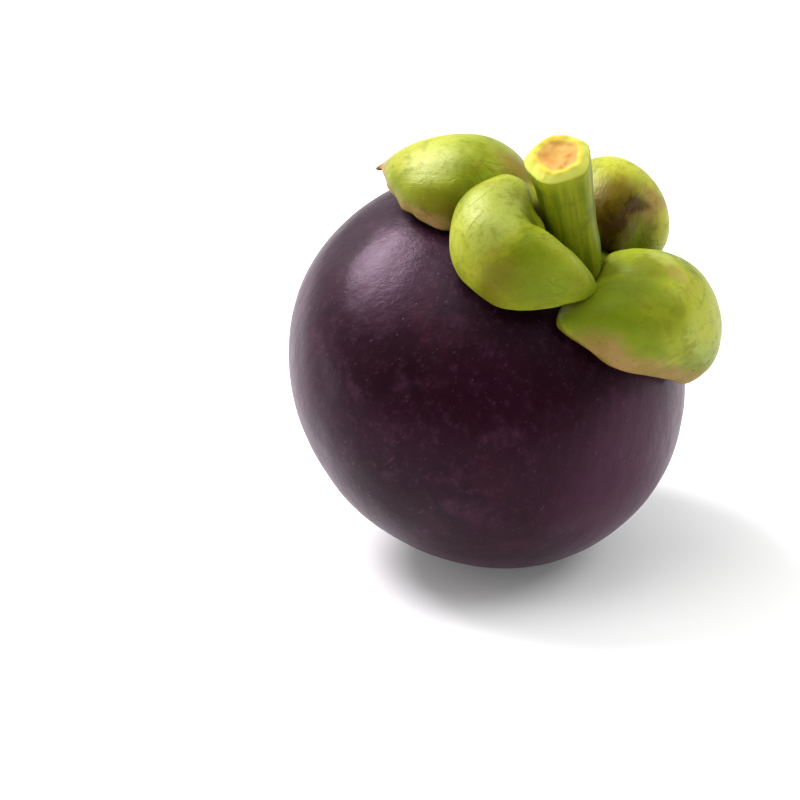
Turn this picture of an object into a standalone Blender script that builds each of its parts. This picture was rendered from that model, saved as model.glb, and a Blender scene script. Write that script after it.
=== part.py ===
"""A whole mangosteen: a flattened round fruit with four cupped sepals, a cut stem and a stigma rosette.

Everything is modelled upright in the fruit's own frame, with its axis along +Z and the stem on top.
The empty named resting_pose then leans the fruit over, as it lies on a table, and puts the centre of
the small flat spot that it rests on at the world's origin. Blender's lengths are in metres, and the
sizes of the sepals are given in millimetres.
"""

import math
from dataclasses import dataclass

import bmesh
import bpy
from mathutils import Matrix, Vector

MM = 0.001
TOUCH_GAP = 0.3 * MM  # kept between two pieces that touch

# The body of the fruit
FRUIT_RADIUS = 30.0 * MM
FRUIT_FLATTENING = 0.87  # its height over its width
FRUIT_SEGMENTS = 64
FRUIT_RINGS = 34

# How it lies: the stem end leans over by LEAN_ANGLE towards LEAN_HEADING, seen from above
LEAN_ANGLE = math.radians(40.9)
LEAN_HEADING = math.radians(-34.8)
REST_SPOT_DEPTH = 0.8 * MM

# The stem, which flares a little at its foot and at its cut end
STEM_FOOT = Vector((-1.6, -1.4, 0.0)) * MM
STEM_RADIUS = 3.6 * MM
STEM_FOOT_RADIUS = 4.4 * MM
STEM_FLARE_FALL = 9.0  # how fast the flare of the foot dies out along the stem
STEM_CUT_RADIUS = 4.25 * MM
STEM_LENGTH = 19.8 * MM
STEM_LEAN = math.radians(41.4)
STEM_HEADING = math.radians(-148.0)
STEM_RIDGES = 5
STEM_RIDGE_DEPTH = 0.035  # as a share of the radius
STEM_BEND_SHARE = 0.25  # share of its length over which it bends from the skin to its lean
STEM_SIDES = 40
STEM_RINGS = 12

# The stigma rosette at the blossom end, with a lobe for each segment of the flesh
STIGMA_LOBES = 7
STIGMA_RADIUS = 6.5 * MM
STIGMA_NOTCH = 0.3  # depth of the notches between lobes, as a share of the radius
STIGMA_THICKNESS = 1.2 * MM
STIGMA_EDGE = 0.35  # height of its rim and depth of its dished middle, as shares of the thickness
STIGMA_DISH = 0.45
STIGMA_ROUNDING = 0.7  # power of the lobes' outline: less is rounder
STIGMA_SIDES = STIGMA_LOBES * 10
STIGMA_RINGS = 12

SEPAL_THICKNESS = 1.3 * MM
SEPAL_CELLS = 16
TIP_SHARPNESS = 30  # power of the cosine round a sepal that its point follows

SHARP_EDGE = math.radians(40)


@dataclass
class Sepal:
    """One cupped sepal: a dome that stands on the skin and arches over from the stem to its margin.

    It is laid out on a map of the skin, in millimetres along the skin from the top of the fruit:
    outward along the sepal's heading, and aside to the left of it.
    """

    name: str
    heading: float  # degrees round the fruit's axis
    crown: tuple  # outward and aside place of the dome's middle
    reaches: tuple  # from there to the margin in eight equal turns, the first outward
    lifts: tuple  # how far the margin stands off the skin, in the same eight turns
    height: float  # of the crown over the skin
    roll: tuple  # degrees that the surface turns through from its crown, outwards and to the stem
    lean: tuple  # how far the crown leans back to the stem, and aside
    bend: float = 0.0  # how strongly the sides curl back round the stem
    tip: float = 0.0  # length of the point at the outer end


SEPALS = (
    Sepal(
        "sepal_front", -106.5, (14.1, -0.8),
        reaches=(7.1, 6.7, 7.2, 9.6, 5.9, 6.4, 11.8, 11.2),
        lifts=(0.4, 1.2, 3.0, 3.4, 2.4, 4.2, 6.4, 3.0),
        height=11.6, roll=(97.0, 90.0), lean=(0.2, -2.2), bend=0.022,
    ),
    Sepal(
        "sepal_right", 34.5, (10.8, -3.2),
        reaches=(13.2, 15.0, 11.2, 8.6, 8.2, 13.8, 12.2, 10.4),
        lifts=(1.6, 1.4, 0.7, 0.7, 0.9, 0.9, 1.0, 0.5),
        height=11.3, roll=(90.0, 55.0), lean=(0.6, -0.6), bend=0.03,
    ),
    Sepal(
        "sepal_back", 106.0, (14.7, 2.0),
        reaches=(9.0, 9.1, 8.7, 8.6, 9.8, 7.4, 9.6, 10.0),
        lifts=(0.4, 0.7, 1.4, 0.9, 0.7, 0.9, 2.8, 0.5),
        height=9.8, roll=(94.0, 78.0), lean=(1.1, 1.2),
    ),
    Sepal(
        "sepal_left", -175.0, (21.5, 2.2),
        reaches=(13.2, 11.8, 10.4, 7.0, 13.5, 10.8, 12.8, 13.2),
        lifts=(4.0, 1.8, 0.4, 0.7, 0.9, 0.8, 0.7, 1.8),
        height=8.0, roll=(88.0, 67.0), lean=(-0.5, 1.7), tip=2.0,
    ),
)


def skin_radius(polar):
    """Distance of the skin from the fruit's centre, at an angle from the stem."""
    return FRUIT_RADIUS / math.hypot(math.sin(polar), math.cos(polar) / FRUIT_FLATTENING)


def skin_point(polar, around):
    radius = skin_radius(polar)
    return Vector((
        radius * math.sin(polar) * math.cos(around),
        radius * math.sin(polar) * math.sin(around),
        radius * math.cos(polar),
    ))


def over_skin(polar, around, height):
    """A point at a height over the skin, measured square to it."""
    point = skin_point(polar, around)
    normal = Vector((point.x, point.y, point.z / FRUIT_FLATTENING**2)).normalized()
    return point + normal * height


def smooth_around(values, around):
    """The value at any turn, on a smooth closed curve through the given ones at equal turns."""
    step = around / (2 * math.pi) * len(values)
    start = math.floor(step)
    part = step - start
    before, here, after, beyond = (values[(start + i) % len(values)] for i in (-1, 0, 1, 2))
    return 0.5 * (
        2 * here
        + (after - before) * part
        + (2 * before - 5 * here + 4 * after - beyond) * part**2
        + (3 * here - before - 3 * after + beyond) * part**3
    )


def sepal_point(sepal, x, y):
    """Where a point of the unit disc goes: its middle to the crown, and its rim to the margin."""
    out_share = math.hypot(x, y)
    around = math.atan2(y, x)
    stemward = 0.5 - 0.5 * math.cos(around)
    roll = math.radians(sepal.roll[0] + (sepal.roll[1] - sepal.roll[0]) * stemward)
    turn = out_share * roll
    rise = (math.cos(turn) - math.cos(roll)) / (1 - math.cos(roll))
    spread = math.sin(turn) / math.sin(min(roll, math.pi / 2)) * smooth_around(sepal.reaches, around)
    spread += sepal.tip * max(0.0, math.cos(around)) ** TIP_SHARPNESS * out_share**4

    aside = spread * math.sin(around)
    outward = spread * math.cos(around) - sepal.bend * aside**2
    outward += sepal.crown[0] - sepal.lean[0] * rise
    aside += sepal.crown[1] + sepal.lean[1] * rise
    height = sepal.height * rise + smooth_around(sepal.lifts, around) * out_share**2

    polar = math.hypot(outward, aside) * MM / FRUIT_RADIUS
    heading = math.radians(sepal.heading) + math.atan2(aside, outward)
    return over_skin(polar, heading, height * MM + TOUCH_GAP)


def disc_from_square(x, y):
    """Spreads a square grid over the unit disc."""
    return x * math.sqrt(1 - y * y / 2), y * math.sqrt(1 - x * x / 2)


def material(name, colour, roughness):
    made = bpy.data.materials.new(name)
    made.use_nodes = True
    shader = made.node_tree.nodes["Principled BSDF"]
    shader.inputs["Base Color"].default_value = (*colour, 1.0)
    shader.inputs["Roughness"].default_value = roughness
    shader.inputs["Metallic"].default_value = 0.0
    return made


def add_object(name, mesh, collection, finish, parent):
    obj = bpy.data.objects.new(name, mesh)
    mesh.materials.append(finish)
    obj.parent = parent
    collection.objects.link(obj)
    return obj


def finished_mesh(bm, name):
    bmesh.ops.recalc_face_normals(bm, faces=bm.faces)
    mesh = bpy.data.meshes.new(name)
    bm.to_mesh(mesh)
    bm.free()
    mesh.shade_smooth()
    mesh.set_sharp_from_angle(angle=SHARP_EDGE)
    return mesh


def body_mesh(down):
    """The round body with its rest spot cut flat, and the middle of that spot."""
    bm = bmesh.new()
    bmesh.ops.create_uvsphere(bm, u_segments=FRUIT_SEGMENTS, v_segments=FRUIT_RINGS, radius=1.0)
    for vert in bm.verts:
        vert.co *= skin_radius(vert.co.angle(Vector((0, 0, 1))))
    lowest = max(vert.co.dot(down) for vert in bm.verts)
    cut = bmesh.ops.bisect_plane(
        bm,
        geom=bm.verts[:] + bm.edges[:] + bm.faces[:],
        plane_co=down * (lowest - REST_SPOT_DEPTH),
        plane_no=down,
        clear_outer=True,
    )
    rim = [edge for edge in cut["geom_cut"] if isinstance(edge, bmesh.types.BMEdge)]
    bmesh.ops.contextual_create(bm, geom=rim)
    corners = {vert for edge in rim for vert in edge.verts}
    middle = sum((vert.co for vert in corners), Vector()) / len(corners)
    return finished_mesh(bm, "fruit_body"), middle


def sepal_mesh(sepal):
    bm = bmesh.new()
    bmesh.ops.create_grid(bm, x_segments=SEPAL_CELLS, y_segments=SEPAL_CELLS, size=1.0)
    for vert in bm.verts:
        vert.co = sepal_point(sepal, *disc_from_square(vert.co.x, vert.co.y))
    return finished_mesh(bm, sepal.name)


def stem_radius(share):
    """The stem's radius at a share of its length, from its foot to its cut end."""
    foot_flare = (STEM_FOOT_RADIUS - STEM_RADIUS) * math.exp(-STEM_FLARE_FALL * share)
    return STEM_RADIUS + foot_flare + (STEM_CUT_RADIUS - STEM_RADIUS) * share**3


def stem_mesh():
    """A ridged tube that starts square on the skin and bends over to its lean."""
    bm = bmesh.new()
    cone = bmesh.ops.create_cone(
        bm, cap_ends=True, segments=STEM_SIDES, radius1=1.0, radius2=1.0, depth=1.0
    )
    bmesh.ops.translate(bm, verts=cone["verts"], vec=(0, 0, 0.5))
    for ring in range(1, STEM_RINGS):
        bmesh.ops.bisect_plane(
            bm,
            geom=bm.verts[:] + bm.edges[:] + bm.faces[:],
            plane_co=(0, 0, ring / STEM_RINGS),
            plane_no=(0, 0, 1),
        )
    lean_axis = Vector((-math.sin(STEM_HEADING), math.cos(STEM_HEADING), 0))
    direction = Matrix.Rotation(STEM_LEAN, 3, lean_axis) @ Vector((0, 0, 1))
    foot = STEM_FOOT + Vector((0, 0, FRUIT_RADIUS * FRUIT_FLATTENING + TOUCH_GAP))
    for vert in bm.verts:
        share = vert.co.z
        around = math.atan2(vert.co.y, vert.co.x)
        radius = stem_radius(share) * (1 + STEM_RIDGE_DEPTH * math.cos(STEM_RIDGES * around))
        flat = Vector((radius * math.cos(around), radius * math.sin(around), 0))
        lean = Matrix.Rotation(STEM_LEAN * min(1.0, share / STEM_BEND_SHARE), 3, lean_axis)
        vert.co = foot + direction * STEM_LENGTH * share + lean @ flat
    return finished_mesh(bm, "stem")


def stigma_mesh():
    """A thin rosette of rounded lobes, dished in its middle, which lies on the skin."""
    bm = bmesh.new()
    bmesh.ops.create_uvsphere(bm, u_segments=STIGMA_SIDES, v_segments=STIGMA_RINGS, radius=1.0)
    for vert in bm.verts:
        out_share = min(1.0, math.hypot(vert.co.x, vert.co.y))
        around = math.atan2(vert.co.y, vert.co.x)
        lobe = abs(math.cos(STIGMA_LOBES * around / 2)) ** STIGMA_ROUNDING
        reach = STIGMA_RADIUS * out_share * (1 - STIGMA_NOTCH * (1 - lobe) * out_share)
        top = STIGMA_EDGE + (1 - STIGMA_EDGE) * vert.co.z - STIGMA_DISH * (1 - out_share)
        share = top if vert.co.z > 0 else STIGMA_EDGE * (1 + vert.co.z)
        height = STIGMA_THICKNESS * share
        vert.co = over_skin(math.pi - reach / FRUIT_RADIUS, around, height + TOUCH_GAP)
    return finished_mesh(bm, "stigma_rosette")


def main():
    for obj in list(bpy.data.objects):
        bpy.data.objects.remove(obj)
    collection = bpy.data.collections.new("mangosteen")
    bpy.context.scene.collection.children.link(collection)

    pose = bpy.data.objects.new("resting_pose", None)
    collection.objects.link(pose)
    lean = Matrix.Rotation(LEAN_HEADING, 4, "Z") @ Matrix.Rotation(LEAN_ANGLE, 4, "Y")
    down = lean.to_3x3().transposed() @ Vector((0, 0, -1))

    rind = material("purple_rind", (0.055, 0.022, 0.045), 0.38)
    green = material("sepal_green", (0.36, 0.46, 0.07), 0.45)
    stalk = material("stem_green", (0.36, 0.44, 0.06), 0.45)
    scar = material("stigma_brown", (0.10, 0.05, 0.035), 0.7)

    body, rest_spot = body_mesh(down)
    add_object("fruit_body", body, collection, rind, pose)
    for sepal in SEPALS:
        obj = add_object(sepal.name, sepal_mesh(sepal), collection, green, pose)
        shell = obj.modifiers.new("thickness", "SOLIDIFY")
        shell.thickness = SEPAL_THICKNESS
        shell.offset = -1.0
    add_object("stem", stem_mesh(), collection, stalk, pose)
    add_object("stigma_rosette", stigma_mesh(), collection, scar, pose)
    pose.matrix_world = Matrix.Translation(-(lean @ rest_spot)) @ lean


main()
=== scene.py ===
"""A whole mangosteen on a pale table: its waxy rind, cupped sepals, cut stem and stigma rosette.

The pieces are grown upright in the fruit's own frame, in millimetres, with the stem on top, and are
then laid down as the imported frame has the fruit. Textures follow the "place" attribute, which keeps
each point's spot on the upright fruit in centimetres.
"""

import logging
from dataclasses import dataclass, field
from enum import Enum
from math import atan2, cos, degrees, exp, floor, hypot, pi, radians, sin, sqrt

import bpy
from mathutils import Matrix, Vector, noise

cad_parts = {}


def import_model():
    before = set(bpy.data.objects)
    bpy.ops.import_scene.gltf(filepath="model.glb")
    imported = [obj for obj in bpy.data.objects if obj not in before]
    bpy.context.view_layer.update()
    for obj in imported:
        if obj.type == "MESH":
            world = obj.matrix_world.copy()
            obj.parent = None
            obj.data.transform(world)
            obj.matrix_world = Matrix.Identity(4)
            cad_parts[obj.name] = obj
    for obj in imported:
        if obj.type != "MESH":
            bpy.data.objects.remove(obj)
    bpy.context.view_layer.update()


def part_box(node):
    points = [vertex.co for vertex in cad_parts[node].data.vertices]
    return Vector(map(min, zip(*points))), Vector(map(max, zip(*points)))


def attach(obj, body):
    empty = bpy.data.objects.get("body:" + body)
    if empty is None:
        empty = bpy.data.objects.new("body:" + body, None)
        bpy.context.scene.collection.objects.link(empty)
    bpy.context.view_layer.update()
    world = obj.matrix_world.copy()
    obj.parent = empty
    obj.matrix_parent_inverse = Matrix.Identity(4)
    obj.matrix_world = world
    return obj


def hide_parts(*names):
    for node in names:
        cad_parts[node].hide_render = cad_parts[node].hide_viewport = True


MM = 0.001
PER_CM = 0.1  # centimetres in a millimetre
SHARP_STEP = 0.02  # the width of a step that is nearly an edge
SPECK_CORE = 0.4  # the part of a speck that has its full strength
BODY = "root"

Pair = tuple[float, float]
Triple = tuple[float, float, float]
Colour = Triple  # linear red, green and blue
Socket = bpy.types.NodeSocket

log = logging.getLogger("mangosteen")


class Slot(Enum):
    """The material slots."""

    RIND = "rind"
    SEPAL = "sepal"
    STEM = "stem"
    STIGMA = "stigma"


class Value:
    """A number or a vector that varies over a surface: an expression on it adds its nodes."""

    def __init__(self, shader: "Nodes", socket: Socket) -> None:
        """Wraps an output socket of those nodes."""
        self.shader = shader
        self.socket = socket

    def _join(self, operation: str, first: object, second: object = 0.0) -> "Value":
        """The result of one Math node, or of one Vector Math node where this is a vector."""
        kind = "ShaderNodeVectorMath" if self.socket.type == "VECTOR" else "ShaderNodeMath"
        return self.shader.value(kind, {"operation": operation}, {0: first, 1: second})

    def __add__(self, other: object) -> "Value":
        """self + other."""
        return self._join("ADD", self, other)

    def __radd__(self, other: object) -> "Value":
        """other + self."""
        return self._join("ADD", other, self)

    def __sub__(self, other: object) -> "Value":
        """self - other."""
        return self._join("SUBTRACT", self, other)

    def __rsub__(self, other: object) -> "Value":
        """other - self."""
        return self._join("SUBTRACT", other, self)

    def __mul__(self, other: object) -> "Value":
        """self * other."""
        return self._join("MULTIPLY", self, other)

    def __rmul__(self, other: object) -> "Value":
        """other * self."""
        return self._join("MULTIPLY", other, self)

    def __abs__(self) -> "Value":
        """abs(self)."""
        return self._join("ABSOLUTE", self)

    def step(self, low: float, high: float) -> "Value":
        """A smooth step over this number.

        Args:
            low: where the step gives 0.
            high: where the step gives 1. It may be the lower one.

        Returns:
            The step, from 0 to 1.
        """
        ends = {1: high, 2: low, 3: 1.0, 4: 0.0} if low > high else {1: low, 2: high}
        settings = {"interpolation_type": "SMOOTHSTEP"}
        return self.shader.value("ShaderNodeMapRange", settings, {0: self, **ends})

    def length(self) -> "Value":
        """The vector's length."""
        settings = {"operation": "LENGTH"}
        return self.shader.value("ShaderNodeVectorMath", settings, {0: self}, "Value")

    def parts(self) -> tuple["Value", "Value", "Value"]:
        """The vector's three numbers."""
        made = self.shader.node("ShaderNodeSeparateXYZ", sockets={0: self})
        return tuple(Value(self.shader, socket) for socket in made.outputs)

    def clouds(
        self, scale: float, detail: float = 2.0, roughness: float = 0.5, distortion: float = 0.0
    ) -> "Value":
        """Soft noise round 0.5.

        Args:
            scale: how many waves fit in a unit.
            detail: how many finer layers there are.
            roughness: their strength.
            distortion: how far it is pulled about.

        Returns:
            The noise, from 0 to 1.
        """
        names = ("Vector", "Scale", "Detail", "Roughness", "Distortion")
        values = (self, scale, detail, roughness, distortion)
        return self.shader.value("ShaderNodeTexNoise", {}, dict(zip(names, values, strict=True)))

    def cells(self, scale: float, feature: str) -> "Value":
        """How far each place is from its cell's middle, or from its edge with DISTANCE_TO_EDGE."""
        sockets = {"Vector": self, "Scale": scale}
        return self.shader.value("ShaderNodeTexVoronoi", {"feature": feature}, sockets, "Distance")

    def specks(self, scale: float, size: float, share: float) -> "Value":
        """Scattered dots.

        Args:
            scale: how many cells fit in a unit.
            size: radius of a dot, as a share of a cell.
            share: the share of the cells that have a dot.

        Returns:
            1 on a dot and 0 off it.
        """
        sockets = {"Vector": self, "Scale": scale}
        made = self.shader.node("ShaderNodeTexVoronoi", {"feature": "F1"}, sockets)
        chosen, _, _ = Value(self.shader, made.outputs["Color"]).parts()
        dots = Value(self.shader, made.outputs["Distance"]).step(size, size * SPECK_CORE)
        return dots * chosen.step(share, share - SHARP_STEP)


class Nodes:
    """A tree of shader nodes under construction."""

    def __init__(self, owner: bpy.types.Material | bpy.types.World) -> None:
        """Empties a tree.

        Args:
            owner: the material or world that has it.
        """
        owner.use_nodes = True
        self.tree = owner.node_tree
        self.tree.nodes.clear()

    def node(
        self, kind: str, settings: dict[str, object] | None = None,
        sockets: dict[object, object] | None = None,
    ) -> bpy.types.Node:
        """Adds a node.

        Args:
            kind: the node's type.
            settings: its properties, which are set first.
            sockets: a number, a tuple, a socket or a Value for each input, by name or place.

        Returns:
            The node.
        """
        made = self.tree.nodes.new(kind)
        for key, value in (settings or {}).items():
            setattr(made, key, value)
        for key, value in (sockets or {}).items():
            self.feed(made.inputs[key], value)
        return made

    def value(
        self, kind: str, settings: dict[str, object], sockets: dict[object, object],
        output: object = 0,
    ) -> Value:
        """One output of a new node, as a Value."""
        return Value(self, self.node(kind, settings, sockets).outputs[output])

    def feed(self, socket: Socket, value: object) -> None:
        """Sets or links one input.

        Args:
            socket: the input.
            value: a number, a tuple, an output socket or a Value.
        """
        if isinstance(value, Value):
            value = value.socket
        if isinstance(value, Socket):
            self.tree.links.new(value, socket)
        elif isinstance(value, tuple) and len(value) < len(socket.default_value):
            socket.default_value = (*value, 1.0)
        else:
            socket.default_value = value


class Shader(Nodes):
    """A material under construction: one Principled surface, its colour so far and its nodes."""

    def __init__(self, name: str) -> None:
        """Starts an empty material.

        Args:
            name: its name.
        """
        self.material = bpy.data.materials.new(name)
        super().__init__(self.material)
        self.surface = self.node("ShaderNodeBsdfPrincipled")
        self.node("ShaderNodeOutputMaterial", sockets={"Surface": self.surface.outputs[0]})
        self.colour: object = (1.0, 1.0, 1.0)

    def attribute(self, name: str) -> Value:
        """The vector that the mesh keeps under that name."""
        settings = {"attribute_type": "GEOMETRY", "attribute_name": name}
        return Value(self, self.node("ShaderNodeAttribute", settings).outputs["Vector"])

    def mix(self, factor: object, first: object, second: object) -> Socket:
        """The second colour over the first, by a factor from 0 to 1."""
        settings = {"data_type": "RGBA", "clamp_factor": True}
        return self.node("ShaderNodeMix", settings, {0: factor, 6: first, 7: second}).outputs[2]

    def coat(self, factor: object, colour: object) -> None:
        """Lays a colour over what is there, by a factor from 0 to 1."""
        self.colour = self.mix(factor, self.colour, colour)

    def finish(
        self, roughness: object, relief: Value, depth: float, **fixed: object
    ) -> bpy.types.Material:
        """Feeds the surface.

        Args:
            roughness: its roughness.
            relief: its height over its own plane, from 0 to 1.
            depth: how far that 1 stands out, in metres.
            fixed: values of other sockets, with _ for each space in their names.

        Returns:
            The material.
        """
        sockets = {"Strength": 1.0, "Distance": depth, "Height": relief}
        fixed["Normal"] = self.node("ShaderNodeBump", sockets=sockets).outputs[0]
        for key, value in {"Base_Color": self.colour, "Roughness": roughness, **fixed}.items():
            self.feed(self.surface.inputs[key.replace("_", " ")], value)
        return self.material


@dataclass(frozen=True)
class RindFinish:
    """Dark purple waxy skin: cloudy, finely scratched and speckled, with a soft sheen and painted
    sheen.
    """

    deep: Colour = (0.0085, 0.0008, 0.0024)
    purple: Colour = (0.015, 0.002, 0.006)
    ruddy: Colour = (0.028, 0.004, 0.0075)
    # the real waxy bloom's colour, also used for the painted sheen
    bloom_and_painted_sheen: Colour = (0.084, 0.03, 0.056)
    scar: Colour = (0.13, 0.075, 0.05)
    painted_sheen_middle: Triple = (2.5, 0.0, 1.0)  # the middle of the painted sheen, in centimetres, in the upright fruit
    painted_sheen_reach: float = 1.95

    def material(self) -> bpy.types.Material:
        """Makes the skin's material.

        Returns:
            The material.
        """
        shader = Shader("waxy_purple_rind")
        place = shader.attribute("place")
        broad = place.clouds(0.55, 3.0, 0.55)
        shader.colour = shader.mix(broad.step(0.36, 0.64), self.deep, self.purple)
        patches = (place + (4.0, 1.0, 7.0)).clouds(0.9, 4.0, 0.6, 0.4)
        shader.coat(patches.step(0.54, 0.72) * 0.7, self.ruddy)
        mottle = place.clouds(7.0, 5.0, 0.7)
        shader.coat(mottle.step(0.5, 0.82) * 0.4, self.bloom_and_painted_sheen)
        dusty = (place + (9.0, 3.0, 2.0)).clouds(1.6, 4.0, 0.62)
        shader.coat(dusty.step(0.52, 0.74) * 0.32, self.bloom_and_painted_sheen)
        # painted sheen: lighter bloom laid round one side of the fruit stands in for broad soft light
        # there
        away = (place + tuple(-value for value in self.painted_sheen_middle)).length()
        away = away + (mottle - 0.5) * 0.7 + (dusty - 0.5) * 0.7
        shader.coat(away.step(self.painted_sheen_reach, self.painted_sheen_reach * 0.46) * 0.46, self.bloom_and_painted_sheen)
        dull = place.clouds(3.1, 2.0).step(0.46, 0.6)
        scratches = (place * (9.0, 9.0, 1.5)).specks(1.0, 0.26, 0.34) * dull
        nicks = (place * (17.0, 17.0, 4.0)).specks(1.0, 0.24, 0.3)
        marks = scratches * 0.35 + nicks * 0.35
        shader.coat(marks, self.bloom_and_painted_sheen)
        dots = place.specks(6.5, 0.1, 0.2)
        shader.coat(dots * 0.12, self.scar)
        pits = (place + (1.0, 6.0, 3.0)).specks(3.2, 0.14, 0.25)
        grain = place.clouds(26.0, 4.0, 0.65)
        swell = (place * (1.4, 1.4, 0.8)).clouds(2.2, 4.0, 0.55)
        relief = swell * 0.6 + mottle * 0.1 + grain * 0.05
        relief = relief - scratches * 0.1 - nicks * 0.08 - pits * 0.05
        roughness = 0.25 + broad * 0.06 + mottle * 0.14
        return shader.finish(
            roughness, relief, 0.00024,
            Specular_IOR_Level=0.115, Specular_Tint=(1.0, 0.7, 0.94), Sheen_Weight=0.09,
            Sheen_Roughness=0.5, Sheen_Tint=(0.8, 0.36, 0.66),
        )


class Tint(Enum):
    """What a patch on a sepal is tinted with, as a linear colour."""

    YELLOW = (0.47, 0.48, 0.036)
    # painted sheen: a lighter patch where light catches a sepal
    PAINTED_SHEEN = (0.45, 0.52, 0.13)
    OLIVE = (0.13, 0.12, 0.0035)
    BROWN = (0.125, 0.058, 0.0015)
    # dark marks, and painted shade in the hollows and gaps by the stem
    DARK = (0.03, 0.008, 0.002)
    TAN = (0.3, 0.185, 0.05)
    PINK = (0.38, 0.225, 0.085)
    # dark green of the veins, and also painted shade in some patches
    GREEN = (0.14, 0.2, 0.005)


@dataclass(frozen=True)
class Patch:
    """A soft-edged patch: its middle, out along the sepal and aside, as shares of its reach."""

    out: float
    aside: float
    size: float
    tint: Tint
    strength: float
    raggedness: float = 0.5
    stretch: float = 1.0  # under 1 it is longer along the sepal than across it
    turn: float = 0.0  # degrees that its length is turned by


@dataclass(frozen=True)
class SepalFinish:
    """Leathery yellow-green with stains, fine lengthwise veins and a dry margin; some patches are
    painted sheen and some painted shade.
    """

    name: str
    patches: tuple[Patch, ...]
    margin: float = 0.0  # strength of the tan band along the margin
    margin_width: float = 0.12
    margin_turn: float = 0.0  # degrees round the sepal to the band's middle
    seed: float = 0.0
    lime: Colour = (0.29, 0.355, 0.017)
    moss: Colour = (0.19, 0.235, 0.007)
    gold: Colour = (0.365, 0.38, 0.024)

    def material(self) -> bpy.types.Material:
        """Makes the sepal's material.

        Returns:
            The material.
        """
        shader = Shader(self.name)
        place = shader.attribute("place") + (self.seed, 0.0, self.seed * 0.7)
        leaf = shader.attribute("leaf")
        out, aside, inner = leaf.parts()
        share = (leaf * (1.0, 1.0, 0.0)).length()
        broad = place.clouds(1.3, 3.0, 0.55)
        shader.colour = shader.mix(broad.step(0.36, 0.64), self.moss, self.lime)
        warm = (place + (3.0, 5.0, 1.0)).clouds(2.1, 3.0, 0.6)
        shader.coat(warm.step(0.5, 0.7) * 0.65, self.gold)
        ragged = place.clouds(5.0, 5.0, 0.68)
        for patch in self.patches:
            shader.coat(self.mask(shader, leaf, ragged, patch), patch.tint.value)
        veins = (leaf * (1.6, 15.0, 1.0)).clouds(1.6, 3.0, 0.6, 0.25)
        shader.coat(veins.step(0.54, 0.72) * 0.22, Tint.GREEN.value)
        shader.coat(ragged.step(0.48, 0.66) * 0.34, Tint.OLIVE.value)
        freckles = place.specks(11.0, 0.16, 0.34)
        shader.coat(freckles * 0.35, Tint.BROWN.value)
        stains = place.clouds(9.0, 6.0, 0.75).step(0.58, 0.74)
        shader.coat(stains * 0.46, Tint.BROWN.value)
        bend = (leaf * (1.0, 2.8, 1.0)).clouds(1.7, 1.0, 0.5, 0.8)
        creases = abs(bend - 0.5).step(0.01, 0.002) * place.clouds(2.6, 2.0).step(0.5, 0.6)
        shader.coat(creases * 0.1, Tint.OLIVE.value)
        wander = (ragged - 0.5) * 0.3
        rim = (share + wander).step(1.0 - self.margin_width, 1.0 - self.margin_width * 0.45)
        middle = radians(self.margin_turn)
        dry = rim * (out * cos(middle) + aside * sin(middle)).step(-0.1, 0.3) * self.margin
        husk = shader.mix(warm.step(0.42, 0.62), Tint.TAN.value, Tint.PINK.value)
        shader.coat(dry, shader.mix(stains * 0.8, husk, Tint.BROWN.value))
        edge = (share + wander * 0.2).step(0.955, 0.985) * (self.margin * 0.5 + 0.2)
        shader.coat(edge, Tint.BROWN.value)
        shader.coat(inner * 0.6, Tint.OLIVE.value)
        grain = place.clouds(24.0, 4.0, 0.6)
        puckers = place.clouds(4.2, 3.0, 0.55)
        relief = puckers * 0.5 + veins * 0.24 + ragged * 0.2 + grain * 0.16
        relief = relief - creases * 0.2 + dry * 0.1 * ragged
        roughness = 0.3 + ragged * 0.2 + dry * 0.22
        return shader.finish(
            roughness, relief, 0.0003,
            Specular_IOR_Level=0.14, Specular_Tint=(1.0, 1.0, 0.5), Subsurface_Weight=0.08,
            Subsurface_Radius=(0.001, 0.0012, 0.0003), Subsurface_Scale=1.0,
        )

    def mask(self, shader: Shader, leaf: Value, ragged: Value, patch: Patch) -> Value:
        """Where a patch shows.

        Args:
            shader: the material under construction.
            leaf: the place on the sepal.
            ragged: the noise that tears the patch's edge.
            patch: the patch.

        Returns:
            Its strength, from 0 to 1.
        """
        moved = leaf + (-patch.out, -patch.aside, 0.0)
        sockets = {"Vector": moved, "Angle": -radians(patch.turn)}
        turned = shader.node("ShaderNodeVectorRotate", {"rotation_type": "Z_AXIS"}, sockets)
        away = (Value(shader, turned.outputs[0]) * (patch.stretch, 1.0, 0.0)).length()
        torn = away + (ragged - 0.5) * (patch.raggedness * 1.6 * patch.size)
        return torn.step(patch.size * 1.15, patch.size * 0.5) * patch.strength


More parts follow.
